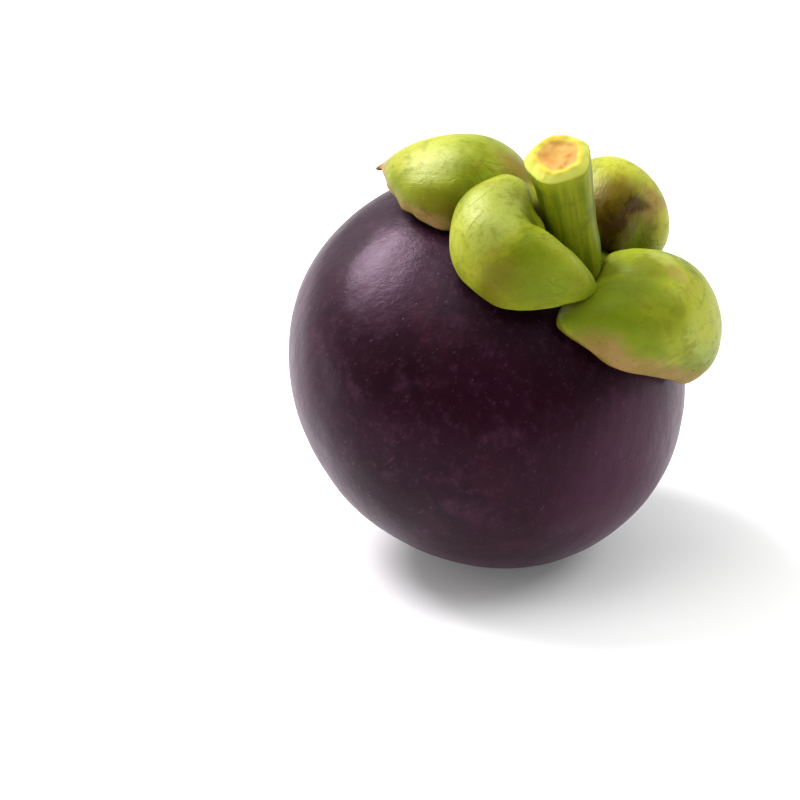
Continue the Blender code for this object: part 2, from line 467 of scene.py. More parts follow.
@dataclass(frozen=True)
class StemFinish:
    """Smooth yellow-green bark with lengthwise streaks and painted shade down one side, and a pale
    pith on the cut.
    """

    green: Colour = (0.125, 0.165, 0.0032)
    yellow: Colour = (0.3, 0.33, 0.01)
    # darker green of the blotches, also used for the painted shade
    blotch_and_painted_shade: Colour = (0.064, 0.09, 0.002)
    rim: Colour = (0.6, 0.63, 0.1)
    ring: Colour = (0.66, 0.49, 0.055)
    pith: Colour = (0.6, 0.34, 0.085)
    pith_dark: Colour = (0.56, 0.27, 0.06)

    def material(self) -> bpy.types.Material:
        """Makes the stem's material.

        Returns:
            The material.
        """
        shader = Shader("green_stem")
        place = shader.attribute("place")
        grain = shader.attribute("grain")
        side, face, across = shader.attribute("bark").parts()
        streaks = (grain * (3.6, 3.6, 0.5)).clouds(1.0, 4.0, 0.55, 0.3)
        shader.colour = shader.mix(streaks.step(0.38, 0.68) * 0.7, self.green, self.yellow)
        blotch = place.clouds(2.6, 4.0, 0.65)
        shader.coat(blotch.step(0.52, 0.7) * 0.5, self.blotch_and_painted_shade)
        _, _, along = grain.parts()
        fresh = along.step(1.62, 1.98)
        # painted shade: one side of the bark darkened, less near the cut end
        shader.coat(side * (1.0 - fresh) * 0.75, self.blotch_and_painted_shade)
        shader.coat(fresh * 0.6, self.yellow)
        flecks = place.specks(12.0, 0.22, 0.25)
        shader.coat(flecks * 0.55, Tint.BROWN.value)
        lumps = place.cells(7.5, "SMOOTH_F1")
        wander = (place.clouds(6.0, 3.0) - 0.5) * 0.12
        middle = across + wander
        top = shader.mix(middle.step(0.86, 0.74), self.rim, self.ring)
        top = shader.mix((blotch.step(0.45, 0.6)) * 0.5, top, self.rim)
        pith = shader.mix(lumps.step(0.35, 0.75), self.pith, self.pith_dark)
        top = shader.mix(middle.step(0.66, 0.54), top, pith)
        shader.coat(face, top)
        relief = streaks * (1.0 - face) * 0.5 - lumps * face * 0.9 + blotch * 0.3
        roughness = 0.42 + blotch * 0.1 + face * 0.2
        return shader.finish(
            roughness, relief, 0.0003,
            Specular_IOR_Level=0.14, Specular_Tint=(1.0, 1.0, 0.5), Subsurface_Weight=0.1,
            Subsurface_Radius=(0.0012, 0.001, 0.0004), Subsurface_Scale=1.0,
        )


@dataclass(frozen=True)
class StigmaFinish:
    """Dry brown, cracked and rough, darker in its grooves."""

    ridge: Colour = (0.15, 0.078, 0.045)
    groove: Colour = (0.03, 0.014, 0.01)

    def material(self) -> bpy.types.Material:
        """Makes the rosette's material.

        Returns:
            The material.
        """
        shader = Shader("dry_brown_stigma")
        place = shader.attribute("place")
        high, _, _ = shader.attribute("petal").parts()
        fibres = place.clouds(14.0, 5.0, 0.7, 0.6)
        raised = (high + (fibres - 0.5) * 0.7).step(0.15, 0.75)
        shader.colour = shader.mix(raised, self.groove, self.ridge)
        cracks = place.cells(7.0, "DISTANCE_TO_EDGE").step(0.07, 0.0)
        shader.coat(cracks * 0.7, self.groove)
        relief = fibres * 0.7 - cracks * 0.5
        return shader.finish(0.66 + fibres * 0.2, relief, 0.0003, Specular_IOR_Level=0.35)


@dataclass(frozen=True)
class Skin:
    """The flattened round form that everything grows on. Lengths are in millimetres."""

    radius: float = 30.0
    flattening: float = 0.87

    def at(self, polar: float, around: float, height: float = 0.0) -> Vector:
        """A point on or over the skin.

        Args:
            polar: the angle from the stem.
            around: the turn round the fruit's axis.
            height: how far over the skin, square to it.

        Returns:
            The point.
        """
        reach = self.radius / hypot(sin(polar), cos(polar) / self.flattening)
        point = Vector((cos(around), sin(around), 0)) * (reach * sin(polar))
        point.z = reach * cos(polar)
        normal = Vector((point.x, point.y, point.z / self.flattening**2)).normalized()
        return point + normal * height


SKIN = Skin()


@dataclass(frozen=True)
class RestingPose:
    """How the fruit lies: its stem end leans over towards a heading, in degrees."""

    lean: float = 40.9
    heading: float = -34.8

    def turn(self) -> Matrix:
        """The turn from the upright fruit to the lying one."""
        heading = Matrix.Rotation(radians(self.heading), 4, "Z")
        return heading @ Matrix.Rotation(radians(self.lean), 4, "Y")

    def centre(self) -> Vector:
        """Finds the fruit's centre from the box of its CAD body.

        Returns:
            The centre, in metres.
        """
        low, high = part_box("fruit_body")
        upright = (self.turn() @ Vector((0, 0, 1))).z
        half = SKIN.radius * MM * sqrt(1 - upright**2 + (SKIN.flattening * upright) ** 2)
        return Vector(((low[0] + high[0]) / 2, (low[1] + high[1]) / 2, high[2] - half))

    def matrix(self) -> Matrix:
        """From the upright fruit to the lying one, both in metres."""
        return Matrix.Translation(self.centre()) @ self.turn()


@dataclass
class Growth:
    """A mesh under construction: points on the upright fruit, faces and what each point carries."""

    points: list[Vector] = field(default_factory=list)
    faces: list[tuple[int, ...]] = field(default_factory=list)
    carried: dict[str, list[Triple]] = field(default_factory=dict)

    def add(self, point: Vector, **carried: Triple) -> int:
        """Adds a point.

        Args:
            point: where it is, in millimetres.
            carried: a vector for each attribute that the material reads.

        Returns:
            Its place in the list.
        """
        self.points.append(point)
        for name, value in carried.items():
            self.carried.setdefault(name, []).append(value)
        return len(self.points) - 1

    def sheet(self, rows: list[list[int]], closed: bool) -> None:
        """Covers rows of points with quads.

        Args:
            rows: the places of the points, row by row.
            closed: whether the last point of a row meets its first.
        """
        for low, high in zip(rows, rows[1:], strict=False):
            count = len(low)
            for i in range(count if closed else count - 1):
                j = (i + 1) % count
                self.faces.append((low[i], low[j], high[j], high[i]))

    def fan(self, row: list[int], pole: int) -> None:
        """Closes a row with triangles that meet at one point."""
        for here, after in zip(row, row[1:] + row[:1], strict=True):
            self.faces.append((here, after, pole))

    def piece(
        self, name: str, pose: Matrix, finish: bpy.types.Material, slot: Slot, node: str
    ) -> bpy.types.Object:
        """Makes the object, lays it down with the fruit and hands it to the frame.

        Args:
            name: the piece's name.
            pose: from the upright fruit to the lying one.
            finish: its material.
            slot: the slot of that material. It is not used.
            node: the CAD node that it stands for.

        Returns:
            The object.
        """
        mesh = bpy.data.meshes.new(name)
        mesh.from_pydata([pose @ (point * MM) for point in self.points], [], self.faces)
        self.carried["place"] = [tuple(point * PER_CM) for point in self.points]
        for key, values in self.carried.items():
            layer = mesh.attributes.new(key, "FLOAT_VECTOR", "POINT")
            layer.data.foreach_set("vector", [number for value in values for number in value])
        mesh.validate()
        mesh.shade_smooth()
        mesh.materials.append(finish)
        made = bpy.data.objects.new(name, mesh)
        bpy.context.scene.collection.objects.link(made)
        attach(made, BODY)
        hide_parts(node)
        return made


def stand(name: str, data: bpy.types.ID, place: Vector, aim: Vector) -> bpy.types.Object:
    """Puts a light or a camera in its place.

    Args:
        name: its name.
        data: the light or the camera.
        place: where it stands.
        aim: the point that it is turned to.

    Returns:
        The object.
    """
    made = bpy.data.objects.new(name, data)
    made.location = place
    made.rotation_euler = (aim - place).to_track_quat("-Z", "Y").to_euler()
    bpy.context.scene.collection.objects.link(made)
    return made


def ripple(point: Vector, scale: float) -> float:
    """Smooth noise from -1 to 1 at a point, with waves of that scale, both in millimetres."""
    return noise.noise(point / scale)


def turns(count: int) -> list[float]:
    """Equal turns round an axis, in radians."""
    return [2 * pi * side / count for side in range(count)]


@dataclass(frozen=True)
class Dent:
    """A shallow round hollow in the skin: its direction in degrees, its width and depth."""

    polar: float
    around: float
    width: float
    depth: float


@dataclass(frozen=True)
class Rind:
    """The fruit's round body, gently uneven, and flat where it rests."""

    down: Vector  # the way down, seen from the upright fruit
    finish: RindFinish = RindFinish()
    rest_spot_depth: float = 0.8
    rest_blend: float = 0.6
    rest_clearance: float = 0.01
    calm_polar: Pair = (10.0, 35.0)  # degrees between which the skin turns uneven
    swell: float = 0.22
    swell_length: float = 13.0
    pucker: float = 0.05
    pucker_length: float = 3.6
    sides: int = 224
    rings: int = 150
    dents: tuple[Dent, ...] = (
        Dent(74.0, -152.0, 4.2, 0.28), Dent(96.0, -62.0, 5.0, 0.3), Dent(84.0, -24.0, 3.4, 0.2),
        Dent(118.0, -98.0, 6.0, 0.32), Dent(70.0, 64.0, 5.2, 0.25), Dent(104.0, 128.0, 4.6, 0.3),
        Dent(128.0, 30.0, 4.2, 0.24), Dent(92.0, -110.0, 2.6, 0.16), Dent(88.0, 170.0, 3.8, 0.22),
    )

    def height(self, polar: float, around: float) -> float:
        """How far the real skin is over the even form.

        Args:
            polar: the angle from the stem.
            around: the turn round the fruit's axis.

        Returns:
            The height, in millimetres. It is 0 under the stem.
        """
        even = SKIN.at(polar, around)
        rise = self.swell * ripple(even, self.swell_length)
        rise += self.pucker * ripple(even, self.pucker_length)
        for dent in self.dents:
            middle = SKIN.at(radians(dent.polar), radians(dent.around))
            rise -= dent.depth * exp(-((even - middle).length_squared) / dent.width**2)
        calm, uneven = self.calm_polar
        return rise * min(1.0, max(0.0, (degrees(polar) - calm) / (uneven - calm)))

    def build(self, pose: Matrix) -> bpy.types.Object:
        """Makes the body.

        Args:
            pose: from the upright fruit to the lying one.

        Returns:
            The piece.
        """
        growth = Growth()
        squash = Vector((self.down.x, self.down.y, self.down.z * SKIN.flattening))
        ground = SKIN.radius * squash.length - self.rest_spot_depth
        rows = []
        for ring in range(1, self.rings):
            polar = pi * ring / self.rings
            rows.append([])
            for around in turns(self.sides):
                point = SKIN.at(polar, around, self.height(polar, around))
                below = point.dot(self.down) - ground
                if below >= 0:
                    point -= self.down * (below + self.rest_clearance)
                elif below > -self.rest_blend:
                    point -= self.down * (self.rest_blend * exp(below / self.rest_blend))
                rows[-1].append(growth.add(point))
        growth.sheet(rows[::-1], closed=True)
        for row, polar in ((rows[0], 0.0), (rows[-1][::-1], pi)):
            growth.fan(row, growth.add(SKIN.at(polar, 0.0, self.height(polar, 0.0))))
        return growth.piece("rind", pose, self.finish.material(), Slot.RIND, "fruit_body")


@dataclass(frozen=True)
class Edit:
    """A local change to a sepal's margin: where round the sepal, how wide, and by how much."""

    turn: float  # degrees, 0 outward
    width: float  # degrees
    reach: float = 0.0
    lift: float = 0.0
    hold: float = 2.0  # a higher one keeps the change nearer to the margin

    def weight(self, around: float, share: float) -> float:
        """How much of the change there is at a turn, in radians, and a share of the way out."""
        off = (degrees(around) - self.turn + 180) % 360 - 180
        return exp(-((off / self.width) ** 2)) * share**self.hold


@dataclass(frozen=True)
class Crease:
    """A fold line pressed into a sepal, between two places out along it and aside."""

    start: Pair
    end: Pair
    width: float
    depth: float

    def sink(self, out: float, aside: float) -> float:
        """How deep the sepal is pressed in at a place.

        Args:
            out: how far out along the sepal, as a share of its reach.
            aside: how far aside.

        Returns:
            The depth, in millimetres.
        """
        line = Vector(self.end) - Vector(self.start)
        place = Vector((out, aside)) - Vector(self.start)
        share = min(1.0, max(0.0, place.dot(line) / line.length_squared))
        away = (place - line * share).length
        return self.depth * exp(-((away / self.width) ** 2))


@dataclass(frozen=True)
class Sepal:
    """One cupped sepal: a dome that arches from the stem to its margin, with a rounded edge.

    Lengths are in millimetres and follow the CAD part's: reaches and lifts go round the sepal from
    its outer end in eight equal turns.
    """

    node: str
    finish: SepalFinish
    heading: float
    crown: Pair
    reaches: tuple[float, ...]
    lifts: tuple[float, ...]
    height: float
    roll: Pair
    lean: Pair
    bend: float = 0.0
    tip: float = 0.0
    tip_sharpness: float = 30.0
    edits: tuple[Edit, ...] = ()
    creases: tuple[Crease, ...] = ()
    thickness: float = 1.3
    rim_thickness: float = 0.85
    rim_share: float = 0.06
    gap: float = 0.3
    wave: float = 0.1
    wave_lengths: Pair = (4.2, 1.7)
    probe: float = 0.012  # half the step, on the unit disc, that a slope is measured over
    cells: int = 88
    rim_density: float = 1.4  # how much closer the cells are at the margin than in the middle

    def smooth_around(self, values: tuple[float, ...], around: float) -> float:
        """The value at any turn.

        Args:
            values: the values at equal turns.
            around: the turn, in radians.

        Returns:
            The value on a smooth closed curve through the given ones.
        """
        step = around / (2 * pi) * len(values)
        start = floor(step)
        part = step - start
        before, here, after, beyond = (values[(start + i) % len(values)] for i in (-1, 0, 1, 2))
        return 0.5 * (
            2 * here
            + (after - before) * part
            + (2 * before - 5 * here + 4 * after - beyond) * part**2
            + (3 * here - before - 3 * after + beyond) * part**3
        )

    def outside(self, x: float, y: float) -> Vector:
        """Where a point of the unit disc goes on the sepal's outer side.

        Args:
            x: how far out along the sepal.
            y: how far aside.

        Returns:
            The point.
        """
        out_share = hypot(x, y)
        around = atan2(y, x)
        stemward = 0.5 - 0.5 * cos(around)
        roll = radians(self.roll[0] + (self.roll[1] - self.roll[0]) * stemward)
        turn = out_share * roll
        rise = (cos(turn) - cos(roll)) / (1 - cos(roll))
        reach = self.smooth_around(self.reaches, around)
        lift = self.smooth_around(self.lifts, around)
        for edit in self.edits:
            weight = edit.weight(around, out_share)
            reach += edit.reach * weight
            lift += edit.lift * weight
        spread = sin(turn) / sin(min(roll, pi / 2)) * reach
        spread += self.tip * max(0.0, cos(around)) ** self.tip_sharpness * out_share**4
        aside = spread * sin(around)
        outward = spread * cos(around) - self.bend * aside**2
        outward += self.crown[0] - self.lean[0] * rise
        aside += self.crown[1] + self.lean[1] * rise
        height = self.height * rise + lift * out_share**2
        for crease in self.creases:
            height -= crease.sink(x, y) * min(1.0, 4 * (1 - min(1.0, out_share)) + 0.4)
        heading = radians(self.heading) + atan2(aside, outward)
        return SKIN.at(hypot(outward, aside) / SKIN.radius, heading, height + self.gap)

    def sides_at(self, x: float, y: float) -> tuple[Vector, Vector]:
        """The sepal's outer and inner points at a place of the unit disc.

        Args:
            x: how far out along the sepal.
            y: how far aside.

        Returns:
            The two points, which meet at the margin.
        """
        along = self.outside(x + self.probe, y) - self.outside(x - self.probe, y)
        across = self.outside(x, y + self.probe) - self.outside(x, y - self.probe)
        normal = along.cross(across).normalized()
        point = self.outside(x, y)
        share = min(1.0, hypot(x, y))
        long, short = self.wave_lengths
        waves = ripple(point, long) + 0.4 * ripple(point, short)
        point += normal * (self.wave * waves * (0.4 + 0.6 * share))
        thin = self.thickness + (self.rim_thickness - self.thickness) * share**3
        edge = max(0.0, (share - 1 + self.rim_share) / self.rim_share)
        full = sqrt(max(0.0, 1 - edge**2))
        middle = point - normal * (thin / 2)
        return middle + normal * (thin / 2 * full), middle - normal * (thin / 2 * full)

    def build(self, pose: Matrix) -> bpy.types.Object:
        """Makes the sepal.

        Args:
            pose: from the upright fruit to the lying one.

        Returns:
            The piece.
        """
        growth = Growth()
        outer, inner = [], []
        last = self.cells
        for row in range(last + 1):
            outer.append([])
            inner.append([])
            for column in range(last + 1):
                x, y = 2 * column / last - 1, 2 * row / last - 1
                x, y = x * sqrt(1 - y * y / 2), y * sqrt(1 - x * x / 2)
                spread = self.rim_density - (self.rim_density - 1) * hypot(x, y)
                x, y = x * spread, y * spread
                top, under = self.sides_at(x, y)
                outer[-1].append(growth.add(top, leaf=(x, y, 0.0)))
                on_rim = row in (0, last) or column in (0, last)
                inner[-1].append(outer[-1][-1] if on_rim else growth.add(under, leaf=(x, y, 1.0)))
        growth.sheet(outer, closed=False)
        growth.sheet([row[::-1] for row in inner], closed=False)
        name, finish = f"{self.node}_leaf", self.finish.material()
        return growth.piece(name, pose, finish, Slot.SEPAL, self.node)


SEPALS = (
    Sepal(
        "sepal_front",
        SepalFinish("front_sepal_leather", patches=(
            Patch(0.7, -0.25, 0.42, Tint.YELLOW, 0.5), Patch(0.02, -0.45, 0.3, Tint.YELLOW, 0.3),
            # painted sheen: the pale patch on the upper limb
            Patch(0.22, -0.22, 0.3, Tint.PAINTED_SHEEN, 0.4, 0.6, stretch=0.8, turn=20),
            Patch(-0.3, 0.25, 0.36, Tint.YELLOW, 0.25),
            # painted shade: the darker green patch on the lower face
            Patch(0.1, 0.5, 0.36, Tint.GREEN, 0.5, stretch=0.7, turn=-30),
            Patch(0.66, 0.4, 0.5, Tint.OLIVE, 0.3, 0.9),
            Patch(0.72, 0.36, 0.42, Tint.BROWN, 0.24, 1.3),
            Patch(0.84, 0.34, 0.26, Tint.BROWN, 0.28, 1.5),
            Patch(0.58, 0.22, 0.24, Tint.BROWN, 0.16, 1.7), Patch(0.24, 0.8, 0.3, Tint.GREEN, 0.35),
            Patch(-0.44, 0.6, 0.26, Tint.GREEN, 0.4), Patch(-0.2, -0.08, 0.14, Tint.OLIVE, 0.45),
        ), seed=1, margin=0.1, margin_width=0.1, margin_turn=60),
        -106.5, (14.1, -0.8),
        reaches=(7.1, 6.7, 7.2, 9.6, 5.9, 6.4, 11.8, 11.2),
        lifts=(0.4, 1.2, 3, 3.4, 2.4, 4.2, 6.4, 3),
        height=11.6, roll=(97, 90), lean=(0.2, -2.2), bend=0.022,
        edits=(
            Edit(114, 14, -0.75), Edit(146, 12, 1.2, lift=1), Edit(134, 12, lift=0.65, hold=8),
            Edit(260, 18, lift=0.85, hold=8), Edit(188, 22, -2.1, hold=1),
            Edit(226, 18, -1.3, hold=1), Edit(262, 13, 1.5, hold=1), Edit(297, 17, 1.6, hold=1),
            Edit(249, 8, 1.7, hold=1.5), Edit(235, 9, -0.8, hold=1), Edit(262, 20, lift=-0.8),
        ),
        creases=(
            Crease((0.3, 0.42), (0.62, 0.3), 0.035, 0.16),
            Crease((0.36, 0.22), (0.56, 0.46), 0.03, 0.12),
            Crease((0.05, 0.3), (0.3, 0.62), 0.06, 0.14),
            Crease((-0.24, -0.1), (-0.42, 0.36), 0.22, 1.6),
            Crease((-0.14, -0.24), (-0.34, 0.04), 0.24, 0.8),
            Crease((-0.12, 0.08), (-0.46, 0.62), 0.12, -0.4),
        ),
    ),
    Sepal(
        "sepal_right",
        SepalFinish("right_sepal_leather", patches=(
            # painted sheen: the pale patch on this line
            Patch(0.02, -0.12, 0.45, Tint.YELLOW, 0.35), Patch(0.3, -0.1, 0.3, Tint.PAINTED_SHEEN, 0.5),
            # painted shadow: the dark green patches on the next three lines lie along the front
            # sepal's edge
            Patch(-0.62, -0.38, 0.34, Tint.GREEN, 0.7),
            Patch(-0.3, -0.36, 0.26, Tint.GREEN, 0.5, stretch=0.6, turn=10),
            Patch(-0.2, -0.66, 0.3, Tint.GREEN, 0.55, stretch=0.6),
            Patch(-0.5, 0.2, 0.26, Tint.OLIVE, 0.4, 0.9),
            Patch(-0.26, 0.14, 0.16, Tint.PINK, 0.38, 1.3),
            # painted sheen: the pale patch on this line
            Patch(-0.06, 0.02, 0.1, Tint.TAN, 0.25, 1.2), Patch(-0.36, 0.42, 0.2, Tint.PAINTED_SHEEN, 0.35),
            Patch(0.3, -0.84, 0.24, Tint.TAN, 0.6, 1), Patch(0.16, -0.05, 0.26, Tint.YELLOW, 0.45),
            Patch(0.64, -0.3, 0.02, Tint.DARK, 0.8, 0.2),
            Patch(-0.06, -0.22, 0.07, Tint.OLIVE, 0.28, 1.2),
        ), seed=6, margin=0.85, margin_width=0.38, margin_turn=322),
        34.5, (10.8, -3.2),
        reaches=(13.2, 15, 11.2, 8.6, 8.2, 13.8, 12.2, 10.4),
        lifts=(1.6, 1.4, 0.7, 0.7, 0.9, 0.9, 1, 0.5),
        height=11.3, roll=(90, 55), lean=(0.6, -0.6), bend=0.03,
        edits=(
            Edit(223, 11, 0.9), Edit(252, 14, -0.8), Edit(205, 15, 2.8),
            Edit(172, 21, 2.8, lift=0.4), Edit(140, 24, 1.5, lift=0.5), Edit(200, 20, lift=-0.4),
            Edit(352, 9, 1.1, hold=4), Edit(168, 14, -0.75, hold=8),
        ),
        creases=(
            Crease((-0.12, -0.36), (0.26, -0.55), 0.05, 0.16),
            Crease((-0.8, -0.1), (-0.52, 0.6), 0.3, -1),
            Crease((-0.55, -0.1), (-0.15, -0.3), 0.07, 0.14),
        ),
    ),
    Sepal(
        "sepal_back",
        SepalFinish("back_sepal_leather", patches=(
            Patch(-0.06, 0.1, 0.5, Tint.YELLOW, 0.85),
            Patch(-0.7, -0.06, 0.56, Tint.BROWN, 0.92, 0.35),
            Patch(-0.52, 0.12, 0.22, Tint.OLIVE, 0.3, 0.9),
            Patch(-0.18, -0.42, 0.26, Tint.PINK, 0.8, 0.8),
            Patch(-0.34, -0.66, 0.22, Tint.OLIVE, 0.55, 0.8),
            Patch(-0.05, -0.66, 0.26, Tint.YELLOW, 0.8),
            # painted shade: the dark patches on the next three lines darken the hollow of the
            # stem-side wall
            Patch(-0.4, -0.2, 0.12, Tint.DARK, 0.8, 0.9, stretch=0.42, turn=-53),
            Patch(-0.8, -0.12, 0.24, Tint.DARK, 0.85, 0.8),
            Patch(-0.7, 0.16, 0.16, Tint.DARK, 0.5, 0.9),
            Patch(-0.56, -0.36, 0.12, Tint.OLIVE, 0.6), Patch(-0.96, 0.06, 0.14, Tint.GREEN, 0.7),
        ), seed=11, margin=0.3, margin_width=0.12, margin_turn=0),
        106, (14.7, 2),
        reaches=(9, 9.1, 8.7, 8.6, 9.8, 7.4, 9.6, 10),
        lifts=(0.4, 0.7, 1.4, 0.9, 0.7, 0.9, 2.8, 0.5),
        height=9.8, roll=(94, 78), lean=(1.1, 1.2),
        creases=(
            Crease((-0.25, -0.25), (-0.8, -0.05), 0.1, 0.35),
            Crease((-0.45, 0.45), (0.2, -0.25), 0.5, -0.45),
        ),
    ),
    Sepal(
        "sepal_left",
        SepalFinish("left_sepal_leather", patches=(
            # painted highlight: the pale patch in the middle of the limb
            Patch(0.42, 0.02, 0.36, Tint.YELLOW, 0.65), Patch(0.18, 0.22, 0.3, Tint.PAINTED_SHEEN, 0.4, 0.4),
            Patch(-0.1, 0.76, 0.34, Tint.OLIVE, 0.85, stretch=0.7),
            Patch(-0.12, 0.84, 0.22, Tint.BROWN, 0.35, 0.9),
            Patch(-0.06, 0.3, 0.34, Tint.GREEN, 0.25),
            Patch(-0.38, -0.18, 0.26, Tint.TAN, 0.42, 0.9),
            Patch(-0.44, -0.14, 0.24, Tint.BROWN, 0.5, 0.9),
            # painted shadow: the dark patch on this line fills the gap by the stem
            Patch(-0.56, 0, 0.12, Tint.YELLOW, 0.75), Patch(-0.82, 0.08, 0.24, Tint.DARK, 0.9, 0.3),
            Patch(0.18, 0.86, 0.13, Tint.BROWN, 0.7, 0.9),
            Patch(0.05, 0.92, 0.1, Tint.DARK, 0.45, 0.9),
            Patch(0.88, 0.1, 0.22, Tint.PINK, 0.6, 0.6),
            Patch(0.84, 0.44, 0.15, Tint.PINK, 0.7, 0.9), Patch(1, 0.03, 0.1, Tint.BROWN, 0.8, 0.4),
            Patch(0.5, 0.8, 0.07, Tint.PINK, 0.7, 0.9),
            Patch(0.38, 0.6, 0.3, Tint.OLIVE, 0.25, 0.9),
        ), seed=17, margin=0.82, margin_width=0.24, margin_turn=18),
        -175, (21.5, 2.2),
        reaches=(13.2, 11.8, 10.4, 7, 13.5, 10.8, 12.8, 13.2),
        lifts=(4, 1.8, 0.4, 0.7, 0.9, 0.8, 0.7, 1.8),
        height=8, roll=(88, 67), lean=(-0.5, 1.7), tip=1.5,
        edits=(
            Edit(104, 16, 1.1), Edit(2, 3, 1.2, lift=0.3, hold=14), Edit(44, 4, -0.35, hold=8),
            Edit(56, 3.5, 0.35, hold=8), Edit(66, 4, -0.3, hold=8), Edit(30, 4, 0.22, hold=8),
        ),
        creases=(
            Crease((0, -0.2), (-0.6, -0.14), 0.4, -0.95),
            Crease((-0.1, 0.3), (0.5, 0.4), 0.1, 0.12),
            Crease((-0.42, 0.14), (-0.62, 0.1), 0.22, 0.85),
        ),
    ),
)


@dataclass(frozen=True)
class Stem:
    """The short cut stem: ridged bark, a flared foot, and a face with a rim, a ring and a pith."""

    finish: StemFinish = StemFinish()
    foot: Pair = (-1.6, -1.4)
    radius: float = 3.6
    foot_radius: float = 4.4
    flare_fall: float = 9.0
    cut_radius: float = 4.55
    cut_bulge: float = 0.07  # how far the cut end bulges to one side, as a share of its radius
    cut_bulge_side: float = -140.0
    cut_slope: float = 0.45  # how much higher the cut is on one side, in millimetres
    cut_slope_side: float = 125.0
    bevel: float = 0.8  # how far the bark's end is below the middle of the face
    length: float = 19.9
    lean: float = 41.4
    heading: float = -148.0
    bend_share: float = 0.25
    ridges: int = 5
    ridge_depth: float = 0.035
    fine_ridges: tuple[Triple, ...] = ((13, 0.005, 2), (29, 0.003, -3))  # number, depth and twist
    shaded_side: float = -175.0  # degrees round the stem where painted shade darkens the bark
    shaded_from: float = 0.45  # where round the stem that side starts, from 0 opposite it to 1
    gap: float = 0.3
    sink: float = 0.25  # how far the foot goes into the skin
    sink_share: float = 0.06
    roughness: float = 0.1
    sides: int = 144
    rings: int = 90
    face_rings: int = 26
    lip: Triple = (0.22, 0.76, 0.11)  # its height, and its middle and width as shares
    hollow: Pair = (0.32, 0.62)  # its depth, and its radius as a share
    lumps: Pair = (0.2, 0.3)
    bevel_from: float = 0.74
    disc_radius: float = 9.0
    disc_middle: float = 0.25  # the open middle, as a share of the radius
    disc_height: float = 0.45
    disc_sink: float = 0.2
    disc_flat: float = 0.55  # the share of the radius inside which it is flat
    disc_shift: Pair = (1.2, 0.2)
    disc_rings: int = 14
    disc_lobe: float = 0.05
    disc_lobe_turn: float = 0.6

    def width(self, share: float) -> float:
        """The stem's radius at a share of its length."""
        flare = (self.foot_radius - self.radius) * exp(-self.flare_fall * share)
        return self.radius + flare + (self.cut_radius - self.radius) * share**3

    def face_height(self, across: float, around: float) -> float:
        """How far the cut face stands over or under the stem's full length.

        Args:
            across: the share of the radius.
            around: the turn, in radians.

        Returns:
            The height, in millimetres.
        """
        place = Vector((across * cos(around), across * sin(around), 0)) * self.cut_radius
        lip_height, lip_middle, lip_width = self.lip
        lip = lip_height * exp(-(((across - lip_middle) / lip_width) ** 2))
        depth, reach = self.hollow
        hollow = -depth * max(0.0, 1 - (across / reach) ** 4)
        small, large = self.lumps
        uneven = small * ripple(place, 1.1) + large * ripple(place + Vector((7, 3, 1)), 2.2)
        bevel = -self.bevel * max(0.0, (across - self.bevel_from) / (1 - self.bevel_from)) ** 2
        return lip + hollow + uneven * max(0.0, 1 - across**8) + bevel

    def receptacle(self, growth: Growth) -> None:
        """Adds the low green disc at the stem's foot, which the sepals grow from.

        Args:
            growth: the stem's mesh.
        """
        rows = []
        for ring in range(self.disc_rings + 1):
            across = 1 - ring / self.disc_rings * (1 - self.disc_middle)
            fall = max(0.0, across - self.disc_flat) / (1 - self.disc_flat)
            rows.append([])
            for around in turns(self.sides):
                lobe = 1 + self.disc_lobe * cos(4 * around - self.disc_lobe_turn)
                reach = self.disc_radius * across * lobe
                x = self.foot[0] + self.disc_shift[0] + reach * cos(around)
                y = self.foot[1] + self.disc_shift[1] + reach * sin(around)
                uneven = 1 + 0.25 * ripple(Vector((x, y, 0)), 1.6)
                rise = self.disc_height * sqrt(1 - fall**2) * uneven if ring else -self.disc_sink
                point = SKIN.at(hypot(x, y) / SKIN.radius, atan2(y, x), rise)
                grain = (cos(around), sin(around), across)
                # the disc carries 0.6 of the painted shade in bark's first number
                rows[-1].append(growth.add(point, bark=(0.6, 0.0, 1.0), grain=grain))
        growth.sheet([*rows, rows[0]], closed=True)

    def build(self, pose: Matrix) -> bpy.types.Object:
        """Makes the stem.

        Args:
            pose: from the upright fruit to the lying one.

        Returns:
            The piece.
        """
        growth = Growth()
        heading = radians(self.heading)
        bulge_side, slope_side = radians(self.cut_bulge_side), radians(self.cut_slope_side)
        axis = Vector((-sin(heading), cos(heading), 0))
        lean = radians(self.lean)
        up = Vector((0, 0, 1))
        direction = Matrix.Rotation(lean, 3, axis) @ up
        foot = Vector((*self.foot, SKIN.radius * SKIN.flattening + self.gap))
        rows = []
        levels = [(ring / self.rings, 1.0) for ring in range(self.rings + 1)]
        levels += [(1.0, 1.0 - ring / self.face_rings) for ring in range(1, self.face_rings)]
        for share, across in levels:
            turn = Matrix.Rotation(lean * min(1.0, share / self.bend_share), 3, axis)
            rows.append([])
            for around in turns(self.sides):
                ridge = self.ridge_depth * cos(self.ridges * around)
                for count, depth, twist in self.fine_ridges:
                    ridge += depth * cos(count * around + twist * share) * (0.4 + 0.6 * across)
                radius = self.width(share) * across * (1 + ridge)
                radius *= 1 + self.cut_bulge * cos(around - bulge_side) * share**8
                flat = Vector((radius * cos(around), radius * sin(around), 0))
                point = foot + direction * ((self.length - self.bevel) * share) + turn @ flat
                point -= up * ((self.gap + self.sink) * max(0.0, 1 - share / self.sink_share))
                slope = self.cut_slope * across * cos(around - slope_side)
                point += direction * (slope * share**12)
                point += flat.normalized() * (self.roughness * ripple(point, 3.0) * (share < 1.0))
                face = 0.0
                if share == 1.0:
                    point += direction * (self.bevel + self.face_height(across, around))
                    face = 0.5 if across == 1.0 else 1.0
